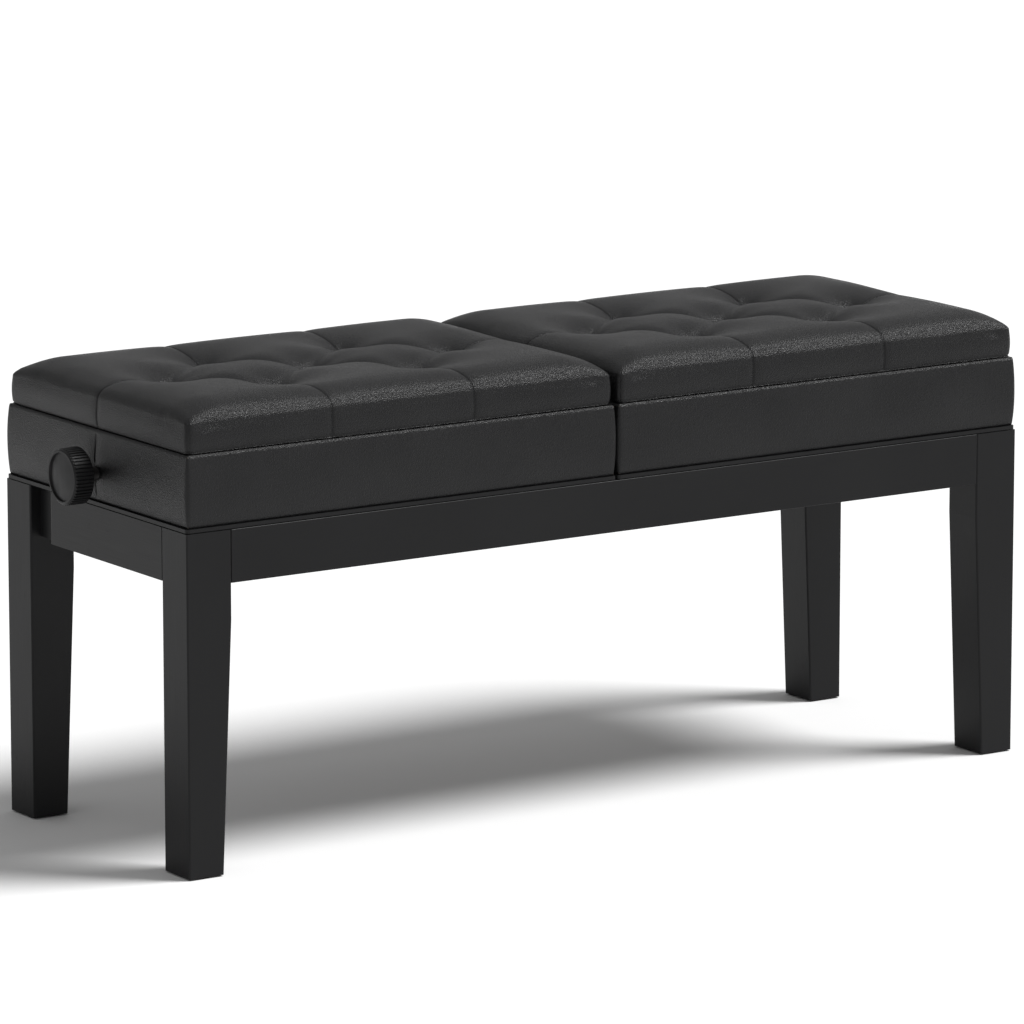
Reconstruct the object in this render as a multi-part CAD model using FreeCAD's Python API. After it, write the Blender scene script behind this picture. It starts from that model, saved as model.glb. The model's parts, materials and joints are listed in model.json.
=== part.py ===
import FreeCAD, Part

"""Duet piano bench: a four-legged wooden base and two padded seats, each on its own scissor lift.

Frame: +X runs along the bench to the right, the front is at -Y and +Z is up. The origin is on
the floor, under the middle of the bench. All sizes are millimetres. The seats are at their lowest.
"""

import math
import os

# Whole bench
LENGTH = 1000.0
DEPTH = 348.0
FRAME_TOP = 341.0
APRON_HEIGHT = 52.5
HALF_LENGTH = LENGTH / 2
HALF_DEPTH = DEPTH / 2
APRON_BOTTOM = FRAME_TOP - APRON_HEIGHT

# Legs
LEG_X = 50.0
LEG_Y = 47.0
FOOT_X = 39.0
TAPER_TOP = APRON_BOTTOM - 36.0
LEG_ROUND = 1.8
GLIDE_THICK = 1.5
GLIDE_RADIUS = 13.0
LEG_CORNER_CUT = 6.5

# Base boards
APRON_THICK = 20.0
END_BOARD_THICK = 12.0
END_BOARD_GAP = 38.5
END_RAIL_THICK = 22.0
CENTRE_RAIL_THICK = 30.0
CENTRE_RAIL_RISE = 2.5
BOARD_ROUND = 0.8
END_BOARD_ROUND = 4.0

# Corner brackets and their bolts
BRACKET_REACH = 50.0
BRACKET_FLANGE = 22.0
BRACKET_THICK = 2.5
BRACKET_BOTTOM = APRON_BOTTOM + 2.5
BRACKET_HEIGHT = 22.0
BOLT_RADIUS = 4.0
BOLT_IN_LEG = 20.0
BOLT_PAST_PLATE = 11.0
NUT_RADIUS = 7.5
NUT_HEIGHT = 6.5
BRACKET_SCREW_IN = 13.0
BRACKET_SCREW_LENGTH = 14.0

# Screws
SCREW_RADIUS = 2.0
SCREW_HEAD_RADIUS = 3.8
SCREW_HEAD_HEIGHT = 2.2
CUTTER_OVERRUN = 1.0

# Seat box
SEAT_GAP = 1.4
STRIP_GAP = 0.8
STRIP_THICK = 3.7
STRIP_WIDTH = 18.0
STRIP_INSET = 0.5
BOX_BOTTOM = FRAME_TOP + STRIP_GAP + STRIP_THICK
BOX_HEIGHT = 71.5
BOX_TOP = BOX_BOTTOM + BOX_HEIGHT
BOX_INSET = 0.5
WRAP_THICK = 2.5
WRAP_LIP_THICK = 1.5
BOX_ROUND = 4.0
PANEL_THICK = 15.0
PANEL_BOTTOM = BOX_BOTTOM + WRAP_LIP_THICK
PANEL_TOP = BOX_TOP - WRAP_LIP_THICK
SEAT_BOARD_THICK = 12.0

# Cushion
CUSHION_INSET = 4.0
CUSHION_MIDDLE_INSET = 3.8
CUSHION_BOTTOM = BOX_TOP + 0.8
CUSHION_SIDE_TOP = 447.0
CUSHION_SHOULDER = 457.0
CUSHION_SHOULDER_INSET = 9.0
CUSHION_TOP = 464.0
CUSHION_TOP_INSET = 45.0
CUSHION_ROUND = 7.0
CUSHION_LEATHER_THICK = 1.5
CUSHION_BOLT_X = 150.0
CUSHION_BOLT_Y = 70.0
CUSHION_BOLT_DEPTH = 12.0

# Scissor lift
ARM_SPAN = 360.0
ARM_RISE = 45.0
SCREW_Z = 373.5
FIXED_PIVOT_X = 72.0
ARM_HEIGHT = 26.0
ARM_THICK = 4.0
ARM_A_Y = 112.0
ARM_B_Y = 120.0
ROD_RADIUS = 5.0
ROD_OVERHANG = 2.0
CENTRE_ROD_OVERHANG = 3.0
PIVOT_CLEARANCE = 0.05
CENTRE_PIVOT_CLEARANCE = 1.2
SLOT_RADIUS = 6.8
SLOT_TRAVEL = 2.0
NUT_LAG = 1.56
LOWER_PIVOT_Z = SCREW_Z - ARM_RISE
ARM_REACH = math.sqrt(ARM_SPAN ** 2 - ARM_RISE ** 2)
ARM_ANGLE = math.degrees(math.asin(ARM_RISE / ARM_SPAN))
SLIDING_X = FIXED_PIVOT_X + ARM_REACH
NUT_X = SLIDING_X + NUT_LAG

# Tracks: C channels that open towards the middle of the bench
TRACK_INSIDE = 20.0
TRACK_WALL = 2.0
TRACK_FLANGE_Y = 126.0
TRACK_WEB_Y = 140.0
TRACK_END_GAP = 1.0
TRACK_TAB_X = (65.0, 215.0, 365.0)
TRACK_TAB_WIDTH = 30.0
TRACK_TAB_DROP = 22.0
TRACK_SCREW_DROP = 13.0
TRACK_SCREW_LENGTH = 14.0
HANGER_Y = 153.0
UPPER_TRACK_NEAR_X = 40.0
UPPER_TRACK_FAR_X = 468.0
UPPER_SCREW_Y = 146.5
UPPER_SCREW_IN = 20.0
UPPER_SCREW_LENGTH = 10.0
ROLLER_RADIUS = 8.7
ROLLER_NEAR_Y = 127.0
ROLLER_FAR_Y = 137.0

# Lead screw and knob
SHAFT_RADIUS = 7.0
SHAFT_CLEARANCE = 0.05
SHAFT_END_X = 385.0
KNOB_RADIUS = 28.2
KNOB_FACE_X = 537.0
KNOB_THICK = 21.5
KNOB_TEETH = 48
KNOB_TOOTH_DEPTH = 1.3
KNOB_BORE_DEPTH = 12.0
KNOB_BORDER_IN = 4.0
KNOB_BORDER_OUT = 2.6
KNOB_FACE_IN = 4.6
KNOB_FACE_DEPTH = 2.0
KNOB_DOME_DEPTH = 0.6
KNOB_DOME_MIDDLE = (0.95, 11.0)
KNOB_FRONT_CHAMFER = 2.2
KNOB_BACK_CHAMFER = 1.5
BUSH_RADIUS = 10.0
BUSH_FLANGE_RADIUS = 16.0
BUSH_FLANGE_THICK = 3.0
WRAP_HOLE_RADIUS = 8.5
COLLAR_RADIUS = 12.0
COLLAR_WIDTH = 6.0
COLLAR_GAP = 0.3

# Travelling nut and its cross bar
NUT_HALF_X = 13.0
NUT_HALF_Y = 14.0
NUT_HALF_Z = 13.0
CROSS_BAR_HALF = 7.0
CROSS_BAR_END_GAP = 4.0
SLIDER_HALF_X = 12.0

V = FreeCAD.Vector
X_AXIS = V(1, 0, 0)
Y_AXIS = V(0, 1, 0)
Z_AXIS = V(0, 0, 1)
ORIGIN = V(0, 0, 0)


def block(x0, x1, y0, y1, z0, z1):
    """A box between two opposite corners."""
    return Part.makeBox(x1 - x0, y1 - y0, z1 - z0, V(x0, y0, z0))


def rod(radius, start, end):
    """A round bar from start to end."""
    along = end - start
    return Part.makeCylinder(radius, along.Length, start, along)


def rod_y(radius, x, z, y0, y1):
    return rod(radius, V(x, y0, z), V(x, y1, z))


def rod_x(radius, x0, x1, z=SCREW_Z):
    return rod(radius, V(x0, 0, z), V(x1, 0, z))


def prism(points, direction):
    """A straight prism over a closed polygon."""
    outline = Part.makePolygon(points + [points[0]])
    return Part.Face(outline).extrude(direction)


def rounded_rectangle(x0, x1, y0, y1, z, radius):
    """A closed outline at height z with four round corners."""
    corners = [(x1 - radius, y0 + radius, -90), (x1 - radius, y1 - radius, 0),
               (x0 + radius, y1 - radius, 90), (x0 + radius, y0 + radius, 180)]
    arcs = [Part.makeCircle(radius, V(cx, cy, z), Z_AXIS, start, start + 90) for cx, cy, start in corners]
    edges = []
    for arc, following in zip(arcs, arcs[1:] + arcs[:1]):
        arc_end = arc.valueAt(arc.LastParameter)
        next_start = following.valueAt(following.FirstParameter)
        edges += [arc, Part.makeLine(arc_end, next_start)]
    return Part.Wire(edges)


def rounded_slab(x0, x1, y0, y1, z0, z1, radius):
    """A slab with round vertical corners."""
    outline = rounded_rectangle(x0, x1, y0, y1, z0, radius)
    return Part.Face(outline).extrude(V(0, 0, z1 - z0))


def softened(board):
    """A board with all its edges slightly rounded."""
    return board.makeFillet(BOARD_ROUND, board.Edges)


def mirrored_x(shape):
    return shape.mirror(ORIGIN, X_AXIS)


def mirrored_y(shape):
    return shape.mirror(ORIGIN, Y_AXIS)


def front_and_rear(shape):
    """The shape and its twin on the other side of the bench's long middle plane."""
    return [shape, mirrored_y(shape)]


def group(shapes):
    return Part.makeCompound(shapes)


def fused(shapes):
    return shapes[0].fuse(shapes[1:]).removeSplitter()


def wood_screw(head, direction, length):
    """A pan-head screw: head is the point where the head meets the board."""
    shank = Part.makeCylinder(SCREW_RADIUS, length, head, direction)
    pan = Part.makeCylinder(SCREW_HEAD_RADIUS, SCREW_HEAD_HEIGHT, head, direction * -1)
    return shank.fuse(pan).removeSplitter()


def four_corners(shape):
    """A shape of the front left corner, repeated at all four corners."""
    pair = front_and_rear(shape)
    return pair + [mirrored_x(each) for each in pair]


# Base: everything here is at the left or front left, and is mirrored for the other places.

def corner_cut():
    """The clipped inner corner of the front left leg, with its sloping shoulder."""
    cx, cy = -HALF_LENGTH + LEG_X, -HALF_DEPTH + LEG_Y
    cut = LEG_CORNER_CUT
    corner = [V(cx, cy, APRON_BOTTOM), V(cx - cut, cy, APRON_BOTTOM), V(cx, cy - cut, APRON_BOTTOM)]
    upper = prism(corner, V(0, 0, APRON_HEIGHT))
    tip = Part.Vertex(cx, cy, APRON_BOTTOM - cut)
    shoulder = Part.makeLoft([tip, Part.makePolygon(corner + [corner[0]])], True, True)
    return upper.fuse(shoulder)


def bolt_line():
    """Where the corner bolt meets the leg, and the direction that it points inwards."""
    cx, cy = -HALF_LENGTH + LEG_X, -HALF_DEPTH + LEG_Y
    height = BRACKET_BOTTOM + BRACKET_HEIGHT / 2
    face = V(cx - LEG_CORNER_CUT / 2, cy - LEG_CORNER_CUT / 2, height)
    return face, V(math.sqrt(0.5), math.sqrt(0.5), 0)


def plate_distance():
    """From the clipped leg corner to the bracket's diagonal plate, along the bolt."""
    face, _ = bolt_line()
    u = face.x + HALF_LENGTH - END_BOARD_THICK - END_RAIL_THICK
    v = face.y + HALF_DEPTH - APRON_THICK
    return (BRACKET_REACH - u - v) / math.sqrt(2)


def hanger_bolt():
    face, inwards = bolt_line()
    start = face - inwards * BOLT_IN_LEG
    end = face + inwards * (plate_distance() + BOLT_PAST_PLATE)
    return rod(BOLT_RADIUS, start, end)


def bracket_nut():
    """A hexagon nut on the inner side of the bracket."""
    face, inwards = bolt_line()
    seat = face + inwards * (plate_distance() + BRACKET_THICK)
    sideways = V(-inwards.y, inwards.x, 0)
    points = []
    for side in range(6):
        turn = math.radians(60 * side)
        corner = sideways * math.cos(turn) + Z_AXIS * math.sin(turn)
        points.append(seat + corner * NUT_RADIUS)
    return prism(points, inwards * NUT_HEIGHT).cut(hanger_bolt())


def bracket_screws():
    """Two screws through the bracket's flanges into the apron and the end rail."""
    along = BRACKET_REACH + BRACKET_SCREW_IN
    wood_x = -HALF_LENGTH + END_BOARD_THICK + END_RAIL_THICK
    wood_y = -HALF_DEPTH + APRON_THICK
    height = BRACKET_BOTTOM + BRACKET_HEIGHT / 2
    on_apron = V(wood_x + along, wood_y + BRACKET_THICK, height)
    on_rail = V(wood_x + BRACKET_THICK, wood_y + along, height)
    return [wood_screw(on_apron, Y_AXIS * -1, BRACKET_SCREW_LENGTH),
            wood_screw(on_rail, X_AXIS * -1, BRACKET_SCREW_LENGTH)]


def corner_bracket():
    """A bent steel strip that ties the apron and end rail together across the leg's corner."""
    reach, flange, thick = BRACKET_REACH, BRACKET_FLANGE, BRACKET_THICK
    bend = thick * math.tan(math.radians(22.5))
    outline = [(reach + flange, 0), (reach, 0), (0, reach), (0, reach + flange),
               (thick, reach + flange), (thick, reach + bend),
               (reach + bend, thick), (reach + flange, thick)]
    wood_x = -HALF_LENGTH + END_BOARD_THICK + END_RAIL_THICK
    wood_y = -HALF_DEPTH + APRON_THICK
    points = [V(wood_x + u, wood_y + v, BRACKET_BOTTOM) for u, v in outline]
    strip = prism(points, V(0, 0, BRACKET_HEIGHT))
    for fastener in [hanger_bolt()] + bracket_screws():
        strip = strip.cut(fastener)
    return strip


def leg():
    """The front left leg: straight outside, tapered on its inner side below the apron."""
    outer = -HALF_LENGTH
    front, back = -HALF_DEPTH, -HALF_DEPTH + LEG_Y
    sections = [(GLIDE_THICK, FOOT_X), (TAPER_TOP, LEG_X), (FRAME_TOP, LEG_X)]
    outlines = [rounded_rectangle(outer, outer + width, front, back, z, LEG_ROUND) for z, width in sections]
    post = Part.makeLoft(outlines, True, True)
    return post.cut(corner_cut()).cut(hanger_bolt())


def glide():
    """A felt glide under the front left foot."""
    centre = V(-HALF_LENGTH + FOOT_X / 2, -HALF_DEPTH + LEG_Y / 2, 0)
    return Part.makeCylinder(GLIDE_RADIUS, GLIDE_THICK, centre)


def front_apron(screws):
    inner = HALF_LENGTH - LEG_X
    board = softened(block(-inner, inner, -HALF_DEPTH, -HALF_DEPTH + APRON_THICK, APRON_BOTTOM, FRAME_TOP))
    for screw in screws:
        board = board.cut(screw)
    return board


def left_end_board():
    """The outer end board, which stops short of the rear leg and has a rounded free end."""
    x0, x1 = -HALF_LENGTH, -HALF_LENGTH + END_BOARD_THICK
    front = -HALF_DEPTH + LEG_Y
    back = HALF_DEPTH - LEG_Y - END_BOARD_GAP
    board = block(x0, x1, front, back, APRON_BOTTOM, FRAME_TOP)
    free_edges = []
    for edge in board.Edges:
        centre = edge.BoundBox.Center
        if abs(centre.x - x0) < 1e-6 and abs(centre.y - back) < 1e-6:
            free_edges.append(edge)
    return board.makeFillet(END_BOARD_ROUND, free_edges)


def left_end_rail(screws):
    """The structural rail behind the end board, from the front leg to the rear leg."""
    x0 = -HALF_LENGTH + END_BOARD_THICK
    reach = HALF_DEPTH - LEG_Y
    rail = block(x0, x0 + END_RAIL_THICK, -reach, reach, APRON_BOTTOM, FRAME_TOP)
    for screw in screws:
        rail = rail.cut(screw)
    return rail


def centre_rail():
    half = CENTRE_RAIL_THICK / 2
    reach = HALF_DEPTH - APRON_THICK
    return block(-half, half, -reach, reach, APRON_BOTTOM + CENTRE_RAIL_RISE, FRAME_TOP)


def lower_track():
    """The front lower track of the left lift, hung on the front apron by drop tabs."""
    x0, x1 = -HALF_LENGTH + LEG_X + TRACK_END_GAP, -CENTRE_RAIL_THICK / 2 - TRACK_END_GAP
    low = LOWER_PIVOT_Z - TRACK_INSIDE / 2
    high = LOWER_PIVOT_Z + TRACK_INSIDE / 2
    apron_y = -HALF_DEPTH + APRON_THICK
    web = block(x0, x1, -TRACK_WEB_Y, -TRACK_WEB_Y + TRACK_WALL, low - TRACK_WALL, high + TRACK_WALL)
    floor = block(x0, x1, -TRACK_WEB_Y, -TRACK_FLANGE_Y, low - TRACK_WALL, low)
    roof = block(x0, x1, -TRACK_WEB_Y, -TRACK_FLANGE_Y, high, high + TRACK_WALL)
    tabs = []
    for x in TRACK_TAB_X:
        near, far = -x - TRACK_TAB_WIDTH / 2, -x + TRACK_TAB_WIDTH / 2
        tabs.append(block(near, far, apron_y, -TRACK_WEB_Y, low - TRACK_WALL, low))
        tabs.append(block(near, far, apron_y, apron_y + TRACK_WALL, low - TRACK_TAB_DROP, low))
    track = fused([web, floor, roof] + tabs)
    track = track.cut(lower_pivot_rod())
    for screw in lower_track_screws():
        track = track.cut(screw)
    return track


def lower_track_screws():
    """Screws through the drop tabs of the front lower track, into the front apron."""
    y = -HALF_DEPTH + APRON_THICK + TRACK_WALL
    z = LOWER_PIVOT_Z - TRACK_INSIDE / 2 - TRACK_SCREW_DROP
    return [wood_screw(V(-x, y, z), Y_AXIS * -1, TRACK_SCREW_LENGTH) for x in TRACK_TAB_X]


def lower_pivot_rod():
    reach = TRACK_WEB_Y + ROD_OVERHANG
    return rod_y(ROD_RADIUS, -FIXED_PIVOT_X, LOWER_PIVOT_Z, -reach, reach)


# Scissor arms of the left lift

def arm_bar(far_x, far_z, near_x, near_z, y):
    """A flat bar with round ends between two pivots, its inner face at y."""
    start, end = V(far_x, y, far_z), V(near_x, y, near_z)
    along = (end - start).normalize()
    across = V(-along.z, 0, along.x) * (ARM_HEIGHT / 2)
    straight = prism([start - across, end - across, end + across, start + across], V(0, ARM_THICK, 0))
    ends = [rod_y(ARM_HEIGHT / 2, point.x, point.z, y, y + ARM_THICK) for point in (start, end)]
    return fused([straight] + ends)


def arm_a():
    """The rear arm that is hinged on the base, with a slot for the travelling nut's trunnion."""
    bar = arm_bar(-SLIDING_X, SCREW_Z, -FIXED_PIVOT_X, LOWER_PIVOT_Z, ARM_A_Y)
    y0, y1 = ARM_A_Y - CUTTER_OVERRUN, ARM_A_Y + ARM_THICK + CUTTER_OVERRUN
    hole = rod_y(ROD_RADIUS + PIVOT_CLEARANCE, -FIXED_PIVOT_X, LOWER_PIVOT_Z, y0, y1)
    slot = []
    for side in (-1, 1):
        slot.append(rod_y(SLOT_RADIUS, -SLIDING_X + side * SLOT_TRAVEL, SCREW_Z, y0, y1))
    slot.append(block(-SLIDING_X - SLOT_TRAVEL, -SLIDING_X + SLOT_TRAVEL, y0, y1,
                      SCREW_Z - SLOT_RADIUS, SCREW_Z + SLOT_RADIUS))
    return bar.cut(hole).cut(fused(slot)).cut(centre_rod())


def arm_b():
    """The rear arm that is hinged on the seat, with its roller end in the lower track."""
    bar = arm_bar(-SLIDING_X, LOWER_PIVOT_Z, -FIXED_PIVOT_X, SCREW_Z, ARM_B_Y)
    y0, y1 = ARM_B_Y - CUTTER_OVERRUN, ARM_B_Y + ARM_THICK + CUTTER_OVERRUN
    middle_x = -FIXED_PIVOT_X - ARM_REACH / 2
    middle_z = (LOWER_PIVOT_Z + SCREW_Z) / 2
    hole = rod_y(ROD_RADIUS + PIVOT_CLEARANCE, -FIXED_PIVOT_X, SCREW_Z, y0, y1)
    crossing = rod_y(ROD_RADIUS + CENTRE_PIVOT_CLEARANCE, middle_x, middle_z, y0, y1)
    return bar.cut(hole).cut(crossing).cut(roller_rod())


def centre_rod():
    """The rod through both pairs of arms, which turns with the arms that are hinged on the base."""
    reach = ARM_B_Y + ARM_THICK + CENTRE_ROD_OVERHANG
    return rod_y(ROD_RADIUS, -FIXED_PIVOT_X - ARM_REACH / 2, (LOWER_PIVOT_Z + SCREW_Z) / 2, -reach, reach)


def roller_rod():
    return rod_y(ROD_RADIUS, -SLIDING_X, LOWER_PIVOT_Z, -ROLLER_FAR_Y, ROLLER_FAR_Y)


def roller():
    """The rear roller, on the end of its rod."""
    return rod_y(ROLLER_RADIUS, -SLIDING_X, LOWER_PIVOT_Z, ROLLER_NEAR_Y, ROLLER_FAR_Y).cut(roller_rod())


# Seat: the left one

def seat_x(inset_outer, inset_middle):
    """The outer and middle ends of a left seat part, taken in from the bench's end and middle."""
    return -HALF_LENGTH + inset_outer, -SEAT_GAP / 2 - inset_middle


def bottom_strip():
    """Four painted strips under the box, butted at the corners."""
    x0, x1 = seat_x(STRIP_INSET, 0)
    y = HALF_DEPTH - STRIP_INSET
    z0, z1 = BOX_BOTTOM - STRIP_THICK, BOX_BOTTOM
    ring = rounded_slab(x0, x1, -y, y, z0, z1, BOX_ROUND)
    long_front = ring.common(block(x0, x1, -y, -y + STRIP_WIDTH, z0, z1))
    end_reach = y - STRIP_WIDTH
    outer = block(x0, x0 + STRIP_WIDTH, -end_reach, end_reach, z0, z1)
    inner = block(x1 - STRIP_WIDTH, x1, -end_reach, end_reach, z0, z1)
    return group(front_and_rear(long_front) + [outer, inner])


def box_faces():
    """The outer faces of the box's plywood: outer end, middle end and rear."""
    x0, x1 = seat_x(BOX_INSET + WRAP_THICK, WRAP_THICK)
    return x0, x1, HALF_DEPTH - WRAP_THICK


def skirt_front():
    x0, x1, y1 = box_faces()
    return block(x0, x1, -y1, -y1 + PANEL_THICK, PANEL_BOTTOM, PANEL_TOP)


def skirt_outer():
    """The outer end panel, bored for the screw's bush."""
    x0, _, y1 = box_faces()
    reach = y1 - PANEL_THICK
    panel = block(x0, x0 + PANEL_THICK, -reach, reach, PANEL_BOTTOM, PANEL_TOP)
    return panel.cut(rod_x(BUSH_RADIUS, x0 - CUTTER_OVERRUN, x0 + PANEL_THICK + CUTTER_OVERRUN))


def skirt_inner():
    _, x1, y1 = box_faces()
    reach = y1 - PANEL_THICK
    return block(x1 - PANEL_THICK, x1, -reach, reach, PANEL_BOTTOM, PANEL_TOP)


def skirt_cover():
    """Leather over thin padding round the box, turned over its panels' top and bottom edges."""
    x0, x1, y1 = box_faces()
    wrap, panel = WRAP_THICK, PANEL_THICK
    outside = rounded_slab(x0 - wrap, x1 + wrap, -y1 - wrap, y1 + wrap, BOX_BOTTOM, BOX_TOP, BOX_ROUND)
    round_panels = block(x0, x1, -y1, y1, PANEL_BOTTOM, PANEL_TOP)
    opening = block(x0 + panel, x1 - panel, -y1 + panel, y1 - panel, BOX_BOTTOM, BOX_TOP)
    shaft_hole = rod_x(WRAP_HOLE_RADIUS, x0 - wrap - CUTTER_OVERRUN, x0 + CUTTER_OVERRUN)
    return outside.cut(round_panels).cut(opening).cut(shaft_hole)


def seat_board():
    x0, x1, y1 = box_faces()
    reach = y1 - PANEL_THICK
    board = block(x0 + PANEL_THICK, x1 - PANEL_THICK, -reach, reach, BOX_TOP - SEAT_BOARD_THICK, BOX_TOP)
    for fastener in seat_screws():
        board = board.cut(fastener)
    return board


def cushion_block(wall):
    """The cushion as one plain crowned block, or the block that is left inside a wall."""
    x0, x1 = seat_x(CUSHION_INSET, CUSHION_MIDDLE_INSET)
    y = HALF_DEPTH - CUSHION_INSET
    sections = [(CUSHION_BOTTOM, 0), (CUSHION_SIDE_TOP - wall, 0),
                (CUSHION_SHOULDER - wall, CUSHION_SHOULDER_INSET), (CUSHION_TOP - wall, CUSHION_TOP_INSET)]
    outlines = []
    for z, taper in sections:
        inset = taper + wall
        radius = CUSHION_ROUND - wall
        outlines.append(rounded_rectangle(x0 + inset, x1 - inset, -y + inset, y - inset, z, radius))
    return Part.makeLoft(outlines, True, True)


def cushion_foam():
    return cushion_block(CUSHION_LEATHER_THICK)


def cushion_cover():
    """The cushion's leather, open underneath, where it is stapled to the foam's base."""
    return cushion_block(0).cut(cushion_foam())


def seat_screws():
    """Four bolts up into the cushion, and two screws that hold each upper track to the seat board."""
    underside = BOX_TOP - SEAT_BOARD_THICK
    middle = (-HALF_LENGTH - SEAT_GAP / 2) / 2
    fasteners = []
    for dx in (-CUSHION_BOLT_X, CUSHION_BOLT_X):
        for y in (-CUSHION_BOLT_Y, CUSHION_BOLT_Y):
            head = V(middle + dx, y, underside)
            fasteners.append(wood_screw(head, Z_AXIS, SEAT_BOARD_THICK + CUSHION_BOLT_DEPTH))
    for y in (-UPPER_SCREW_Y, UPPER_SCREW_Y):
        for x in (UPPER_TRACK_NEAR_X + UPPER_SCREW_IN, UPPER_TRACK_FAR_X - UPPER_SCREW_IN):
            head = V(-x, y, underside - TRACK_WALL)
            fasteners.append(wood_screw(head, Z_AXIS, UPPER_SCREW_LENGTH))
    return fasteners


def upper_track():
    """The front upper track of the left lift: a C channel hung from the seat board."""
    x0, x1 = -UPPER_TRACK_FAR_X, -UPPER_TRACK_NEAR_X
    low = SCREW_Z - TRACK_INSIDE / 2
    high = SCREW_Z + TRACK_INSIDE / 2
    top = BOX_TOP - SEAT_BOARD_THICK
    web = block(x0, x1, -TRACK_WEB_Y, -TRACK_WEB_Y + TRACK_WALL, low - TRACK_WALL, top)
    floor = block(x0, x1, -TRACK_WEB_Y, -TRACK_FLANGE_Y, low - TRACK_WALL, low)
    roof = block(x0, x1, -TRACK_WEB_Y, -TRACK_FLANGE_Y, high, high + TRACK_WALL)
    hanger = block(x0, x1, -HANGER_Y, -TRACK_WEB_Y, top - TRACK_WALL, top)
    track = fused([web, floor, roof, hanger]).cut(upper_pivot_rod())
    for fastener in seat_screws():
        track = track.cut(fastener)
    return track


def upper_pivot_rod():
    reach = TRACK_WEB_Y + ROD_OVERHANG
    return rod_y(ROD_RADIUS, -FIXED_PIVOT_X, SCREW_Z, -reach, reach)


# Lead screw, its nut and knob: the left ones

def panel_inner_face():
    x0, _, _ = box_faces()
    return x0 + PANEL_THICK


def shaft_bush():
    """A flanged bush that carries the screw in the outer end panel."""
    x0, _, _ = box_faces()
    inner = panel_inner_face()
    sleeve = rod_x(BUSH_RADIUS, x0, inner)
    flange_face = inner + BUSH_FLANGE_THICK
    flange = rod_x(BUSH_FLANGE_RADIUS, inner, flange_face)
    bore = rod_x(SHAFT_RADIUS + SHAFT_CLEARANCE, x0 - CUTTER_OVERRUN, flange_face + CUTTER_OVERRUN)
    return fused([sleeve, flange]).cut(bore)


def lead_screw():
    """The screw, from inside the knob to past the nut, with a collar behind the bush."""
    knob_back = -KNOB_FACE_X + KNOB_THICK
    collar_x = panel_inner_face() + BUSH_FLANGE_THICK + COLLAR_GAP
    shaft = rod_x(SHAFT_RADIUS, knob_back - KNOB_BORE_DEPTH, -SHAFT_END_X)
    collar = rod_x(COLLAR_RADIUS, collar_x, collar_x + COLLAR_WIDTH)
    return fused([shaft, collar])


def knob():
    """A ribbed knob with a raised border round a slightly domed face."""
    root = KNOB_RADIUS - KNOB_TOOTH_DEPTH
    tooth_outline = ((0.0, KNOB_RADIUS), (0.45, KNOB_RADIUS), (0.6, root), (0.85, root))
    pitch = 2 * math.pi / KNOB_TEETH
    teeth = []
    for tooth in range(KNOB_TEETH):
        for share, radius in tooth_outline:
            turn = (tooth + share) * pitch
            teeth.append(V(0, radius * math.cos(turn), radius * math.sin(turn)))
    ribbed = prism(teeth, V(KNOB_THICK, 0, 0))

    # Half section: distance behind the face's border, then distance from the axis.
    face_edge = V(KNOB_FACE_DEPTH, KNOB_RADIUS - KNOB_FACE_IN, 0)
    dome_top = V(KNOB_DOME_DEPTH, 0, 0)
    dome = Part.Arc(dome_top, V(*KNOB_DOME_MIDDLE, 0), face_edge).toShape()
    corners = [face_edge,
               V(0, KNOB_RADIUS - KNOB_BORDER_IN, 0),
               V(0, KNOB_RADIUS - KNOB_BORDER_OUT, 0),
               V(KNOB_FRONT_CHAMFER, KNOB_RADIUS, 0),
               V(KNOB_THICK - KNOB_BACK_CHAMFER, KNOB_RADIUS, 0),
               V(KNOB_THICK, KNOB_RADIUS - KNOB_BACK_CHAMFER, 0),
               V(KNOB_THICK, 0, 0),
               dome_top]
    section = Part.Wire([dome] + Part.makePolygon(corners).Edges)
    turned = Part.Face(section).revolve(ORIGIN, X_AXIS, 360)
    body = turned.common(ribbed)
    body.translate(V(-KNOB_FACE_X, 0, SCREW_Z))
    return body.cut(lead_screw())


def travelling_nut():
    """The nut and its cross bar, with trunnions for the arms and sliders in the upper tracks."""
    x = -NUT_X
    bar_end = ARM_A_Y - CROSS_BAR_END_GAP
    nut = block(x - NUT_HALF_X, x + NUT_HALF_X, -NUT_HALF_Y, NUT_HALF_Y,
                SCREW_Z - NUT_HALF_Z, SCREW_Z + NUT_HALF_Z)
    bar = block(x - CROSS_BAR_HALF, x + CROSS_BAR_HALF, -bar_end, bar_end,
                SCREW_Z - CROSS_BAR_HALF, SCREW_Z + CROSS_BAR_HALF)
    trunnions = rod_y(ROD_RADIUS, x, SCREW_Z, -ROLLER_FAR_Y, ROLLER_FAR_Y)
    sliders = front_and_rear(block(x - SLIDER_HALF_X, x + SLIDER_HALF_X, ROLLER_NEAR_Y, ROLLER_FAR_Y,
                                   SCREW_Z - ROLLER_RADIUS, SCREW_Z + ROLLER_RADIUS))
    whole = fused([nut, bar, trunnions] + sliders)
    reach = NUT_HALF_X + CUTTER_OVERRUN
    return whole.cut(rod_x(SHAFT_RADIUS + SHAFT_CLEARANCE, x - reach, x + reach))


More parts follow.
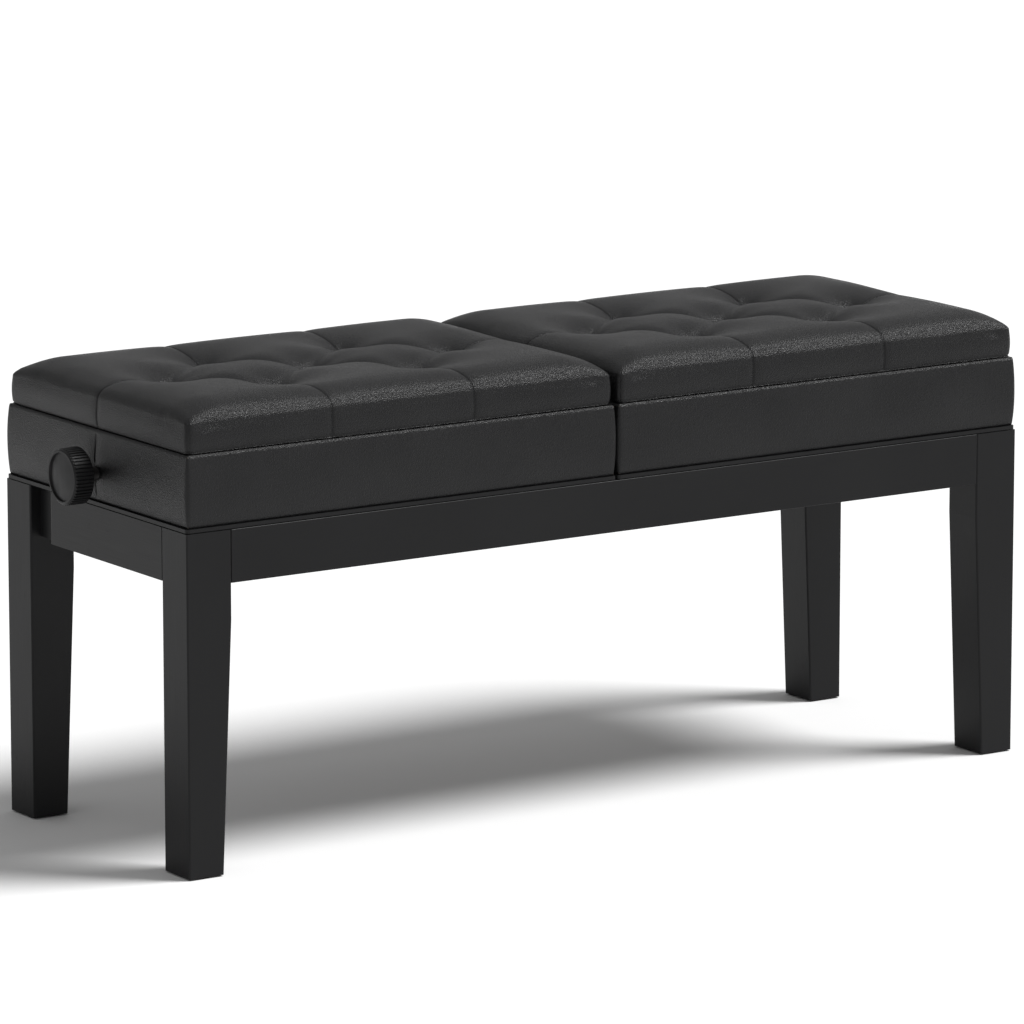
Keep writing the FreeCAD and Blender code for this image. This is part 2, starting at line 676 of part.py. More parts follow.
def base_parts():
    """The wooden base with its brackets, tracks and fasteners."""
    bracket_fasteners = bracket_screws()
    track_fasteners = lower_track_screws()
    corner_screws = four_corners(group(bracket_fasteners + track_fasteners))
    screws = [screw for corner in corner_screws for screw in corner.Solids]
    board, rail = left_end_board(), left_end_rail(screws)
    front = front_apron(screws)
    left_tracks = group(front_and_rear(lower_track()))
    legs = four_corners(leg())
    return {
        "leg_front_left": legs[0], "leg_rear_left": legs[1],
        "leg_front_right": legs[2], "leg_rear_right": legs[3],
        "apron_front": front, "apron_rear": mirrored_y(front),
        "end_board_left": board, "end_board_right": mirrored_x(board),
        "end_rail_left": rail, "end_rail_right": mirrored_x(rail),
        "centre_rail": centre_rail(),
        "corner_brackets": group(four_corners(corner_bracket())),
        "hanger_bolts": group(four_corners(hanger_bolt())),
        "bracket_nuts": group(four_corners(bracket_nut())),
        "foot_glides": group(four_corners(glide())),
        "frame_screws": group(screws),
        "left_lower_tracks": left_tracks, "right_lower_tracks": mirrored_x(left_tracks),
        "left_lower_pivot_rod": lower_pivot_rod(), "right_lower_pivot_rod": mirrored_x(lower_pivot_rod()),
    }


def seat_parts():
    """The left seat and its lift, by the second half of each node's name."""
    return {
        "skirt_front": skirt_front(), "skirt_rear": mirrored_y(skirt_front()),
        "skirt_outer": skirt_outer(), "skirt_inner": skirt_inner(),
        "skirt_cover": skirt_cover(),
        "bottom_strip": bottom_strip(),
        "seat_board": seat_board(),
        "cushion_cover": cushion_cover(), "cushion_foam": cushion_foam(),
        "seat_screws": group(seat_screws()),
        "upper_tracks": group(front_and_rear(upper_track())),
        "upper_pivot_rod": upper_pivot_rod(),
        "shaft_bush": shaft_bush(),
        "lead_screw": lead_screw(),
        "knob": knob(),
        "travelling_nut": travelling_nut(),
        "scissor_arms_a": group(front_and_rear(arm_a())),
        "centre_rod": centre_rod(),
        "scissor_arms_b": group(front_and_rear(arm_b())),
        "rollers": group(front_and_rear(roller()) + [roller_rod()]),
    }


def main():
    os.makedirs("parts", exist_ok=True)
    nodes = base_parts()
    for name, shape in seat_parts().items():
        nodes["left_" + name] = shape
        nodes["right_" + name] = mirrored_x(shape)
    for name, shape in nodes.items():
        shape.exportStep("parts/" + name + ".step")
        print(name, len(shape.Solids), "solids", round(shape.Volume / 1000, 1), "cm3", shape.isValid())
    print(len(nodes), "nodes, arm angle", round(ARM_ANGLE, 3), "sliding end at", round(SLIDING_X, 2))


main()
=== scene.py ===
import json
import math

import bmesh
import bpy
import numpy as np
from mathutils import Matrix, Vector
from mathutils.kdtree import KDTree


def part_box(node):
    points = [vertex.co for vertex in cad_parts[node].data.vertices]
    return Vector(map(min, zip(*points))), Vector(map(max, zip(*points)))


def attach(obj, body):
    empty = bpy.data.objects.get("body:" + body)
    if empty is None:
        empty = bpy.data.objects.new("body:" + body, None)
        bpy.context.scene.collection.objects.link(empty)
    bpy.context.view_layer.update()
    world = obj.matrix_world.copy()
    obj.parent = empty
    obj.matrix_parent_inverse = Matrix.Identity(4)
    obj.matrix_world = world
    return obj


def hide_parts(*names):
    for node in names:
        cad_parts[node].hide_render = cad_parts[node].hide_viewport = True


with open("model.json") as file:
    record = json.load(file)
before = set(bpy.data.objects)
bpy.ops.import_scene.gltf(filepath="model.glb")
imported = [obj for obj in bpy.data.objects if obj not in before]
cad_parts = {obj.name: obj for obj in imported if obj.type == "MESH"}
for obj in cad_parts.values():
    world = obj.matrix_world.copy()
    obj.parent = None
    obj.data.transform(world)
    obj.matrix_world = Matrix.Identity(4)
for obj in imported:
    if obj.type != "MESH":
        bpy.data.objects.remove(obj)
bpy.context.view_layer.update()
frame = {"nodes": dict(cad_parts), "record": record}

MM = 0.001
SIDES = ("left", "right")

# Camera, in degrees and metres, and lens in millimetres on a 36 mm sensor
CAMERA_AZIMUTH = -33.7
CAMERA_ELEVATION = 11.18
CAMERA_DISTANCE = 6.98
CAMERA_TARGET = Vector((-0.0103, 0.0, 0.2813))
LENS = 241.4

# Cushion, in millimetres from its middle
PLAN_ROUND = 6.0
SIDE_TOP_DROP = 18.0
TOP_RISE = 1.6
EDGE_REACH = 9.0
EDGE_RISE = 8.0
SLOPE_REACH = 46.0
TUFT_X = 82.0
TUFT_Y = 70.0
TUFT_DEPTH = 19.0
TUFT_PIT_SHARE = 0.65
TUFT_PIT_REACH = 15.0
TUFT_BOWL_REACH = 42.0
CREASE_DEPTH = 12.0
CREASE_WIDTH = 13.0
CREASE_EASE = 0.4
SEAM_DRAW = 5.0
SEAM_DRAW_AT_EDGE = 0.5
SEAM_DRAW_WIDTH = 13.0
FOOT_TUCK = 1.2
FOOT_TUCK_SHARE = 0.1
SIDE_BULGE = 0.9
SIDE_ROWS = 12
SEAM_LINES = (0.0, 0.7, 1.6, 3.0)
EDGE_LINES = (0.0, 0.15, 0.6, 1.5, 3.0, 5.0, 7.5, 10.5, 14.0)
GRID_STEP = 3.4

# Stitching and pleats, in millimetres
SEAM_GROOVE = 0.9
SEAM_GROOVE_WIDTH = 0.8
SEAM_HOLLOW = 0.5
SEAM_HOLLOW_WIDTH = 4.0
CORNER_GROOVE = 0.55
CORNER_GROOVE_WIDTH = 1.1
PLEAT_HEIGHT = 0.25
PLEAT_RADIUS = 14.0
PLEAT_WIDTH = 10.0

# Cloth that swells between the tufts, in millimetres where it is a length
SIM_VOXEL = 5.0
SIM_FRAMES = 20
SIM_TRAVEL = 6.0
CARRY_NEIGHBOURS = 10
HELD_FOOT = 6.0
HELD_FOOT_FADE = 4.0
HELD_TUFT_REACH = 7.0
HELD_SEAM = 0.35
HELD_SEAM_REACH = 5.0
CLOTH = {
    "quality": 5,
    "mass": 0.3,
    "tension_stiffness": 25,
    "compression_stiffness": 25,
    "shear_stiffness": 10,
    "bending_stiffness": 1.5,
    "use_pressure": True,
    "uniform_pressure_force": 4,
    "vertex_group_mass": "held",
    "pin_stiffness": 5,
}

# Leather round the box, in millimetres
WRAP_ROUND = 4.5
WRAP_BULGE = 2.0
WRAP_EDGE_ROUND = 3.5
WRAP_STAND_OFF = 0.4
WRAP_LIP = 10.0
WRAP_LIP_THICK = 0.3
WRAP_STEP = 4.0
WRAP_EDGE_STEPS = 5
WRAP_FACE_STEPS = 19
WRAP_CORNER_STEPS = 6
PANEL_OVERLAP = 0.05
WRAP_SEAM_LINES = SEAM_LINES + (6.0, 10.0)
WRAP_SEAM_GROOVE = 0.8
WRAP_SEAM_WIDTH = 0.8
WRAP_SEAM_HOLLOW = 0.9
WRAP_SEAM_HOLLOW_WIDTH = 8.0
HOLE_TUCK_RADIUS = 10.0
HOLE_TUCK_DEPTH = 2.3
HOLE_TUCK_FADE = 3.0

# Lead screw, in millimetres. Its collar, plain end and the thread's start are measured from the
# bush's inner end, and the thread's end gap from the screw's own inner end.
SHAFT_RADIUS = 7.0
SHAFT_END_RADIUS = 6.0
SHAFT_SEGMENTS = 32
COLLAR_START = 0.3
COLLAR_END = 6.3
COLLAR_CHAMFER = 0.5
PLAIN_END = 8.0
THREAD_START = 9.0
THREAD_END_GAP = 1.5
THREAD_PITCH = 2.0
THREAD_DEPTH = 0.9
THREAD_RINGS_PER_TURN = 8
THREAD_RUN_OUT = 2.0

# Surroundings: metres, and degrees for the light's width
FLOOR_REACH = 60.0
WORLD_STRENGTH = 0.38
KEY_DIRECTION = (-0.52, 0.3, -0.8)
KEY_STRENGTH = 3.9
KEY_ANGLE = 24

# Bevels added to sharp painted edges, in millimetres, by the end of the node's name
SOFT_EDGES = {"bottom_strip": 1.3, "end_board_left": 0.6, "end_board_right": 0.6}


# Meshes

def new_object(name, vertices, faces):
    mesh = bpy.data.meshes.new(name)
    mesh.from_pydata([tuple(v) for v in vertices], [], faces)
    mesh.update()
    mesh.shade_smooth()
    obj = bpy.data.objects.new(name, mesh)
    bpy.context.scene.collection.objects.link(obj)
    return obj


def coordinates(mesh):
    co = np.zeros(len(mesh.vertices) * 3)
    mesh.vertices.foreach_get("co", co)
    return co.reshape(-1, 3)


def set_coordinates(mesh, co):
    mesh.vertices.foreach_set("co", co.astype(np.float32).ravel())
    mesh.update()


def normals(mesh):
    values = np.zeros(len(mesh.vertices) * 3)
    mesh.vertices.foreach_get("normal", values)
    return values.reshape(-1, 3)


def box_surface(xs, ys, zs):
    """Vertices and quads of a closed box, with a grid of those lines on its faces."""
    places, index = [], {}

    def at(i, j, k):
        if (i, j, k) not in index:
            index[i, j, k] = len(places)
            places.append((xs[i], ys[j], zs[k]))
        return index[i, j, k]

    nx, ny, nz = len(xs) - 1, len(ys) - 1, len(zs) - 1
    faces = []
    for i in range(nx):
        for j in range(ny):
            faces.append((at(i, j, nz), at(i + 1, j, nz), at(i + 1, j + 1, nz), at(i, j + 1, nz)))
            faces.append((at(i, j, 0), at(i, j + 1, 0), at(i + 1, j + 1, 0), at(i + 1, j, 0)))
    for k in range(nz):
        for i in range(nx):
            faces.append((at(i, 0, k), at(i + 1, 0, k), at(i + 1, 0, k + 1), at(i, 0, k + 1)))
            faces.append((at(i, ny, k), at(i, ny, k + 1), at(i + 1, ny, k + 1), at(i + 1, ny, k)))
        for j in range(ny):
            faces.append((at(0, j, k), at(0, j, k + 1), at(0, j + 1, k + 1), at(0, j + 1, k)))
            faces.append((at(nx, j, k), at(nx, j + 1, k), at(nx, j + 1, k + 1), at(nx, j, k + 1)))
    return np.array(places), faces


def grid_lines(half, seams):
    """Grid lines from -half to half, close together at the ends and beside each seam."""
    lines = set()
    for end in (-half, half):
        for offset in EDGE_LINES:
            lines.add(round(end - math.copysign(offset, end), 4))
    for seam in seams:
        for offset in SEAM_LINES:
            lines.add(round(seam - offset, 4))
            lines.add(round(seam + offset, 4))
    fixed = sorted(lines)
    filled = []
    for a, b in zip(fixed, fixed[1:]):
        steps = max(1, round((b - a) / GRID_STEP))
        filled += [a + (b - a) * n / steps for n in range(steps)]
    return filled + [fixed[-1]]


def away_from(x, y, a, b):
    """Distance of each point from the line from a to b, and how far along it the nearest point is."""
    direction = np.subtract(b, a)
    along = ((x - a[0]) * direction[0] + (y - a[1]) * direction[1]) / (direction @ direction)
    along = np.clip(along, 0, 1)
    return np.hypot(x - a[0] - along * direction[0], y - a[1] - along * direction[1]), along


def tufts():
    """The seven places where the cushion is drawn down."""
    rows = [(sx * TUFT_X, sy * TUFT_Y) for sx in (-1, 1) for sy in (-1, 1)]
    return rows + [(-2 * TUFT_X, 0.0), (0.0, 0.0), (2 * TUFT_X, 0.0)]


def creases():
    """Folds between neighbouring tufts."""
    ends = (-2 * TUFT_X, 0.0), (0.0, 0.0), (2 * TUFT_X, 0.0)
    folds = []
    for x, y in tufts()[:4]:
        for end in ends:
            if abs(end[0] - x) < 1.5 * TUFT_X:
                folds.append(((x, y), end))
    return folds


def seams(half_x, half_y):
    """Seams from the outer tufts to the cushion's edges."""
    lines = [((x, y), (x, math.copysign(half_y, y))) for x, y in tufts()[:4]]
    return lines + [((x, 0.0), (math.copysign(half_x, x), 0.0)) for x in (-2 * TUFT_X, 2 * TUFT_X)]


def dents(x, y, half_x, half_y):
    """How far the tufts, folds and seams draw the cushion's top down."""
    total = np.zeros_like(x)
    for tx, ty in tufts():
        r = np.hypot(x - tx, y - ty)
        pit = TUFT_PIT_SHARE * np.exp(-(r / TUFT_PIT_REACH) ** 1.15)
        bowl = (1 - TUFT_PIT_SHARE) * np.exp(-(r / TUFT_BOWL_REACH) ** 2)
        total += (TUFT_DEPTH * (pit + bowl)) ** 3
    for a, b in creases():
        distance, along = away_from(x, y, a, b)
        depth = CREASE_DEPTH * (1 - CREASE_EASE * np.sin(math.pi * along))
        total += (depth * np.exp(-(distance / CREASE_WIDTH) ** 1.1)) ** 3
    for a, b in seams(half_x, half_y):
        distance, along = away_from(x, y, a, b)
        depth = SEAM_DRAW * (1 - along) ** 1.5 + SEAM_DRAW_AT_EDGE
        total += (depth * np.exp(-(distance / SEAM_DRAW_WIDTH) ** 1.4)) ** 3
    return np.cbrt(total)


def rounded_plan(x, y, half_x, half_y, radius):
    """Points of a rectangle moved so that its corners are round."""
    qx = np.abs(x) - (half_x - radius)
    qy = np.abs(y) - (half_y - radius)
    corner = (qx > 0) & (qy > 0)
    safe = np.where(corner, np.hypot(qx, qy), 1)
    shrink = np.where(corner, np.maximum(qx, qy) / safe, 1)
    qx, qy = np.where(corner, qx * shrink, qx), np.where(corner, qy * shrink, qy)
    return np.sign(x) * (qx + half_x - radius), np.sign(y) * (qy + half_y - radius)


def shoulder(distance):
    """Share of the crown's rise at that distance in from the edge: a tight round, then a slope."""
    rise = SIDE_TOP_DROP + TOP_RISE
    edge = np.sqrt(1 - np.clip(1 - distance / EDGE_REACH, 0, 1) ** 2)
    slope = 1 - np.clip(1 - distance / SLOPE_REACH, 0, 1) ** 2
    return (EDGE_RISE * edge + (rise - EDGE_RISE) * slope) / rise


def cushion_shape(places, half_x, half_y, bottom, top):
    """The tufted cushion's points, from those of a plain box whose height runs from 0 to 1."""
    x0, y0, w = places.T
    x, y = rounded_plan(x0, y0, half_x, half_y, PLAN_ROUND)
    side_top = top - SIDE_TOP_DROP
    tuck = FOOT_TUCK * np.clip(1 - w / FOOT_TUCK_SHARE, 0, 1) ** 2 - SIDE_BULGE * np.sin(math.pi * w)
    edge = np.maximum(np.abs(x0) / half_x, np.abs(y0) / half_y)
    on_side = (edge > 0.9999) & (w < 1)
    x = np.where(on_side, x * (1 - tuck / half_x), x)
    y = np.where(on_side, y * (1 - tuck / half_y), y)
    crown = (SIDE_TOP_DROP + TOP_RISE) * shoulder(half_x - np.abs(x0)) * shoulder(half_y - np.abs(y0))
    z_top = side_top + crown - dents(x0, y0, half_x, half_y) * np.sqrt(crown.clip(0) / SIDE_TOP_DROP)
    z = np.where(w >= 1, z_top, bottom + w * (side_top - bottom))
    return np.column_stack([x, y, z])


def swollen(obj, keep_down):
    """Where the points of an evenly meshed copy of obj start, and how far they move when it swells as cloth.

    keep_down tells, from the points, how firmly each is held.
    """
    copy = obj.copy()
    copy.data = obj.data.copy()
    bpy.context.scene.collection.objects.link(copy)
    remesh = copy.modifiers.new("even", "REMESH")
    remesh.mode = "VOXEL"
    remesh.voxel_size = SIM_VOXEL * MM
    depsgraph = bpy.context.evaluated_depsgraph_get()
    even = bpy.data.meshes.new_from_object(copy.evaluated_get(depsgraph))
    copy.modifiers.clear()
    copy.data = even
    start = coordinates(even)
    group = copy.vertex_groups.new(name="held")
    held = keep_down(start)
    for index in np.flatnonzero(held > 0.01):
        group.add([int(index)], float(held[index]), "REPLACE")
    cloth = copy.modifiers.new("leather", "CLOTH")
    for name, value in CLOTH.items():
        setattr(cloth.settings, name, value)
    cloth.settings.effector_weights.gravity = 0
    cloth.collision_settings.use_collision = False
    cloth.point_cache.frame_start = 1
    cloth.point_cache.frame_end = SIM_FRAMES
    scene = bpy.context.scene
    for number in range(1, SIM_FRAMES + 1):
        scene.frame_set(number)
    depsgraph = bpy.context.evaluated_depsgraph_get()
    end = coordinates(copy.evaluated_get(depsgraph).data)
    scene.frame_set(1)
    bpy.data.objects.remove(copy)
    travel = end - start
    length = np.linalg.norm(travel, axis=1, keepdims=True)
    cap = SIM_TRAVEL * MM
    return start, travel * np.minimum(1, cap / np.maximum(length, 1e-9))


def carried(co, start, travel):
    """Points moved as the nearest points of the simulated mesh moved."""
    tree = KDTree(len(start))
    for index, place in enumerate(start):
        tree.insert(place, index)
    tree.balance()
    reach = 1.2 * SIM_VOXEL * MM
    moved = co.copy()
    for number, place in enumerate(co):
        near = tree.find_n(place, CARRY_NEIGHBOURS)
        weights = np.array([math.exp(-(distance / reach) ** 2) + 1e-9 for _, _, distance in near])
        moved[number] += weights @ travel[[index for _, index, _ in near]] / weights.sum()
    return moved


def cushion(side):
    """The tufted cushion: its shape, swollen as cloth, then its seams."""
    low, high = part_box(side + "_cushion_cover")
    middle = (low + high) / 2
    half_x, half_y = (high.x - low.x) / 2 / MM, (high.y - low.y) / 2 / MM
    bottom, top = low.z / MM, high.z / MM
    xs = grid_lines(half_x, (-TUFT_X, TUFT_X))
    ys = grid_lines(half_y, (0.0,))
    plain, faces = box_surface(xs, ys, np.linspace(0, 1, SIDE_ROWS))
    shape = cushion_shape(plain, half_x, half_y, bottom, top)
    obj = new_object(side + "_cushion", shape * MM, faces)
    co = coordinates(obj.data)
    def keep_down(points):
        x, y, z = (points / MM).T
        held = np.clip((bottom + HELD_FOOT - z) / HELD_FOOT_FADE, 0, 1)
        for tx, ty in tufts():
            held = np.maximum(held, np.exp(-(np.hypot(x - tx, y - ty) / HELD_TUFT_REACH) ** 2))
        for a, b in seams(half_x, half_y):
            distance, _ = away_from(x, y, a, b)
            held = np.maximum(held, HELD_SEAM * np.exp(-(distance / HELD_SEAM_REACH) ** 2))
        return held

    co = carried(co, *swollen(obj, keep_down))
    set_coordinates(obj.data, co)
    set_coordinates(obj.data, co + stitched(obj.data, plain, half_x, half_y) * MM)
    obj.data.transform(Matrix.Translation((middle.x, middle.y, 0)))
    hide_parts(side + "_cushion_cover", side + "_cushion_foam")
    finish_piece(obj, side + "_seat", "black_leather")


def stitched(mesh, plain, half_x, half_y):
    """Grooves of the seams, small pleats round the tufts and the corner seams, in millimetres."""
    x, y, w = plain.T
    groove = np.zeros(len(x))
    for a, b in seams(half_x, half_y):
        distance, along = away_from(x, y, a, b)
        start = np.clip(along * 8, 0, 1) * (w > 0.001)
        line = SEAM_GROOVE * np.exp(-(distance / SEAM_GROOVE_WIDTH) ** 2)
        hollow = SEAM_HOLLOW * np.exp(-(distance / SEAM_HOLLOW_WIDTH) ** 2)
        groove = np.maximum(groove, start * (line + hollow))
    qx, qy = half_x - np.abs(x), half_y - np.abs(y)
    corner = (qx < PLAN_ROUND) & (qy < PLAN_ROUND) & (w < 1) & (w > 0.001)
    turn = np.arctan2(PLAN_ROUND - qy, PLAN_ROUND - qx) - math.pi / 4
    corner_line = CORNER_GROOVE * np.exp(-(turn * PLAN_ROUND / CORNER_GROOVE_WIDTH) ** 2)
    groove = np.maximum(groove, corner * corner_line)
    pleat = np.zeros(len(x))
    for number, (tx, ty) in enumerate(tufts()):
        r = np.hypot(x - tx, y - ty)
        angle = np.arctan2(y - ty, x - tx)
        folds = 0.6 * np.sin(7 * angle + number) + 0.4 * np.sin(11 * angle + 2.3 * number)
        pleat += (w >= 1) * PLEAT_HEIGHT * folds * np.exp(-((r - PLEAT_RADIUS) / PLEAT_WIDTH) ** 2)
    return normals(mesh) * (pleat - groove)[:, None]


def ring_points(half_x, half_y, inset):
    """Points round the box at that distance in from its outer face, the same number for any distance."""
    core_x, core_y = half_x - WRAP_ROUND, half_y - WRAP_ROUND
    points, outward = [], []
    corners = ((core_x, -core_y, -90), (core_x, core_y, 0), (-core_x, core_y, 90), (-core_x, -core_y, 180))
    for number, (cx, cy, start) in enumerate(corners):
        for step in range(WRAP_CORNER_STEPS + 1):
            turn = math.radians(start + 90 * step / WRAP_CORNER_STEPS)
            points.append((cx, cy))
            outward.append((math.cos(turn), math.sin(turn)))
        nx, ny, _ = corners[(number + 1) % 4]
        length = math.hypot(nx - cx, ny - cy)
        places = grid_lines_between(length, number % 2 == 0)
        for place in places:
            points.append((cx + (nx - cx) * place / length, cy + (ny - cy) * place / length))
            outward.append(outward[-1])
    points, outward = np.array(points), np.array(outward)
    if inset <= WRAP_ROUND:
        return points + outward * (WRAP_ROUND - inset), outward
    scale = np.array([(half_x - inset) / core_x, (half_y - inset) / core_y])
    return points * scale, outward


def grid_lines_between(length, with_seam):
    """Places along one straight side of the box, close together at the middle where it has a seam."""
    fixed = [0.0, length]
    if with_seam:
        fixed += [length / 2 + sign * offset for sign in (-1, 1) for offset in WRAP_SEAM_LINES]
    fixed = sorted(set(fixed))
    places = []
    for a, b in zip(fixed, fixed[1:]):
        steps = max(1, round((b - a) / WRAP_STEP))
        places += [a + (b - a) * n / steps for n in range(steps)]
    return places[1:]


def box_wrap(side):
    """The leather round the box: bulged faces, turned over the panels' top and bottom edges."""
    if side == "right":
        obj = mirrored("left_box_leather", "right_box_leather")
    else:
        obj = left_box_wrap()
    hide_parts(side + "_skirt_cover")
    finish_piece(obj, side + "_seat", "black_leather")


def mirrored(name, new_name):
    """A copy of a left piece for the right side."""
    obj = bpy.data.objects[name].copy()
    obj.name = new_name
    obj.data = obj.data.copy()
    obj.parent = None
    for key in list(obj.keys()):
        del obj[key]
    obj.data.transform(Matrix.Diagonal((-1, 1, 1, 1)))
    obj.data.flip_normals()
    bpy.context.scene.collection.objects.link(obj)
    return obj


def wrap_profile(bottom, top, panel):
    """The wrap's section from the top lip round to it again: distance in, height and fullness."""
    edge = [n * math.pi / 2 / (WRAP_EDGE_STEPS - 1) for n in range(WRAP_EDGE_STEPS)]
    middle, half = (top + bottom) / 2, (top - bottom) / 2 - WRAP_EDGE_ROUND
    profile = [(panel + WRAP_LIP, top, 0)]
    for turn in edge:
        inset = WRAP_BULGE + WRAP_EDGE_ROUND * (1 - math.sin(turn))
        profile.append((inset, top - WRAP_EDGE_ROUND * (1 - math.cos(turn)), 0))
    for t in np.linspace(1, -1, WRAP_FACE_STEPS)[1:-1]:
        profile.append((WRAP_BULGE * abs(t) ** 2.2, middle + t * half, 1 - t * t))
    for turn in reversed(edge):
        inset = WRAP_BULGE + WRAP_EDGE_ROUND * (1 - math.sin(turn))
        profile.append((inset, bottom + WRAP_EDGE_ROUND * (1 - math.cos(turn)), 0))
    inside_top, inside_bottom = top - WRAP_LIP_THICK, bottom + WRAP_LIP_THICK
    return profile + [(panel + WRAP_LIP, bottom, 0), (panel + WRAP_LIP, inside_bottom, 0),
                      (panel, inside_bottom, 0), (panel, inside_top, 0), (panel + WRAP_LIP, inside_top, 0)]


def left_box_wrap():
    """One closed ring of leather, with the end face's seam and the tuck round the screw's shaft."""
    low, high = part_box("left_skirt_cover")
    panel_low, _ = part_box("left_skirt_front")
    shaft_low, shaft_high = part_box("left_lead_screw")
    shaft_z = (shaft_low.z + shaft_high.z) / 2 / MM
    middle = (low + high) / 2
    half_x = (high.x - low.x) / 2 / MM + WRAP_STAND_OFF
    half_y = (high.y - low.y) / 2 / MM + WRAP_STAND_OFF
    panel = panel_low.y / MM - (middle.y / MM - half_y) - PANEL_OVERLAP
    vertices, loops = [], []
    for inset, z, fullness in wrap_profile(low.z / MM, high.z / MM, panel):
        ring, outward = ring_points(half_x, half_y, inset)
        x, y = ring.T
        end_face = (np.abs(outward[:, 1]) < 0.01) & (outward[:, 0] * middle.x > 0)
        line = WRAP_SEAM_GROOVE * np.exp(-(y / WRAP_SEAM_WIDTH) ** 2)
        hollow = WRAP_SEAM_HOLLOW * np.exp(-(y / WRAP_SEAM_HOLLOW_WIDTH) ** 2)
        pinch = end_face * min(1, 4 * fullness) * (line + hollow)
        to_hole = (HOLE_TUCK_RADIUS - np.hypot(y, z - shaft_z)) / HOLE_TUCK_FADE
        pinch = np.maximum(pinch, HOLE_TUCK_DEPTH * end_face * np.clip(to_hole, 0, 1))
        ripple = 0.16 * np.sin(x * 0.043 + z * 0.05) + 0.12 * np.sin(x * 0.019 - z * 0.07 + y * 0.05 + 1.0)
        ring = ring + outward * (fullness * ripple - pinch)[:, None]
        loops.append(range(len(vertices), len(vertices) + len(ring)))
        vertices += [(px, py, z) for px, py in ring]
    faces = []
    count = len(loops[0])
    for a, b in zip(loops, loops[1:] + loops[:1]):
        for n in range(count):
            m = (n + 1) % count
            faces.append((a[n], b[n], b[m], a[m]))
    obj = new_object("left_box_leather", np.array(vertices) * MM, faces)
    merged(obj.data)
    obj.data.transform(Matrix.Translation((middle.x, middle.y, 0)))
    return obj


def lead_screw(side):
    """The screw with its thread, smooth where the knob, bush and collar are."""
    if side == "right":
        obj = mirrored("left_screw", "right_screw")
    else:
        obj = left_lead_screw()
    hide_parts(side + "_lead_screw")
    finish_piece(obj, side + "_screw_drive", "bright_steel")


def left_lead_screw():
    """Rings of points along the screw: its plain end, the collar, the thread and its far end."""
    low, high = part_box("left_lead_screw")
    _, bush_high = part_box("left_shaft_bush")
    height = (low.z + high.z) / 2 / MM
    collar = (high.z - low.z) / 2 / MM
    outer, inner, bush = low.x / MM, high.x / MM, bush_high.x / MM
    collar_start, collar_end = bush + COLLAR_START, bush + COLLAR_END
    smooth = [(outer, 0.0), (outer, SHAFT_END_RADIUS), (outer + 1, SHAFT_RADIUS),
              (collar_start, SHAFT_RADIUS), (collar_start, collar - COLLAR_CHAMFER),
              (collar_start + COLLAR_CHAMFER, collar), (collar_end - COLLAR_CHAMFER, collar),
              (collar_end, collar - COLLAR_CHAMFER), (collar_end, SHAFT_RADIUS),
              (bush + PLAIN_END, SHAFT_RADIUS)]
    angle = np.arange(SHAFT_SEGMENTS) * 2 * math.pi / SHAFT_SEGMENTS
    rings = [(x, np.full(SHAFT_SEGMENTS, radius)) for x, radius in smooth]
    start, end = bush + THREAD_START, inner - THREAD_END_GAP
    for x in np.linspace(start, end, int((end - start) / THREAD_PITCH * THREAD_RINGS_PER_TURN)):
        phase = ((x - start) / THREAD_PITCH - angle / (2 * math.pi)) % 1
        wave = np.clip(np.abs(phase * 2 - 1) * 2 - 0.5, 0, 1)
        ease = min(1, (x - start) / THREAD_RUN_OUT, (end - x) / THREAD_RUN_OUT)
        rings.append((x, SHAFT_RADIUS - THREAD_DEPTH * wave * ease))
    for radius in (SHAFT_END_RADIUS, 0.0):
        rings.append((inner, np.full(SHAFT_SEGMENTS, radius)))
    vertices, faces = [], []
    for x, radius in rings:
        vertices += [(x, r * math.cos(a), height + r * math.sin(a)) for a, r in zip(angle, radius)]
    for ring in range(len(rings) - 1):
        here, there = ring * SHAFT_SEGMENTS, (ring + 1) * SHAFT_SEGMENTS
        for n in range(SHAFT_SEGMENTS):
            m = (n + 1) % SHAFT_SEGMENTS
            faces.append((here + n, there + n, there + m, here + m))
    obj = new_object("left_screw", np.array(vertices) * MM, faces)
    merged(obj.data)
    return obj


def merged(mesh):
    """Joins points that lie at the same place and drops faces with no area."""
    work = bmesh.new()
    work.from_mesh(mesh)
    bmesh.ops.remove_doubles(work, verts=work.verts, dist=1e-6)
    bmesh.ops.dissolve_degenerate(work, edges=work.edges, dist=1e-6)
    work.to_mesh(mesh)
    work.free()
    mesh.shade_smooth()


# Materials

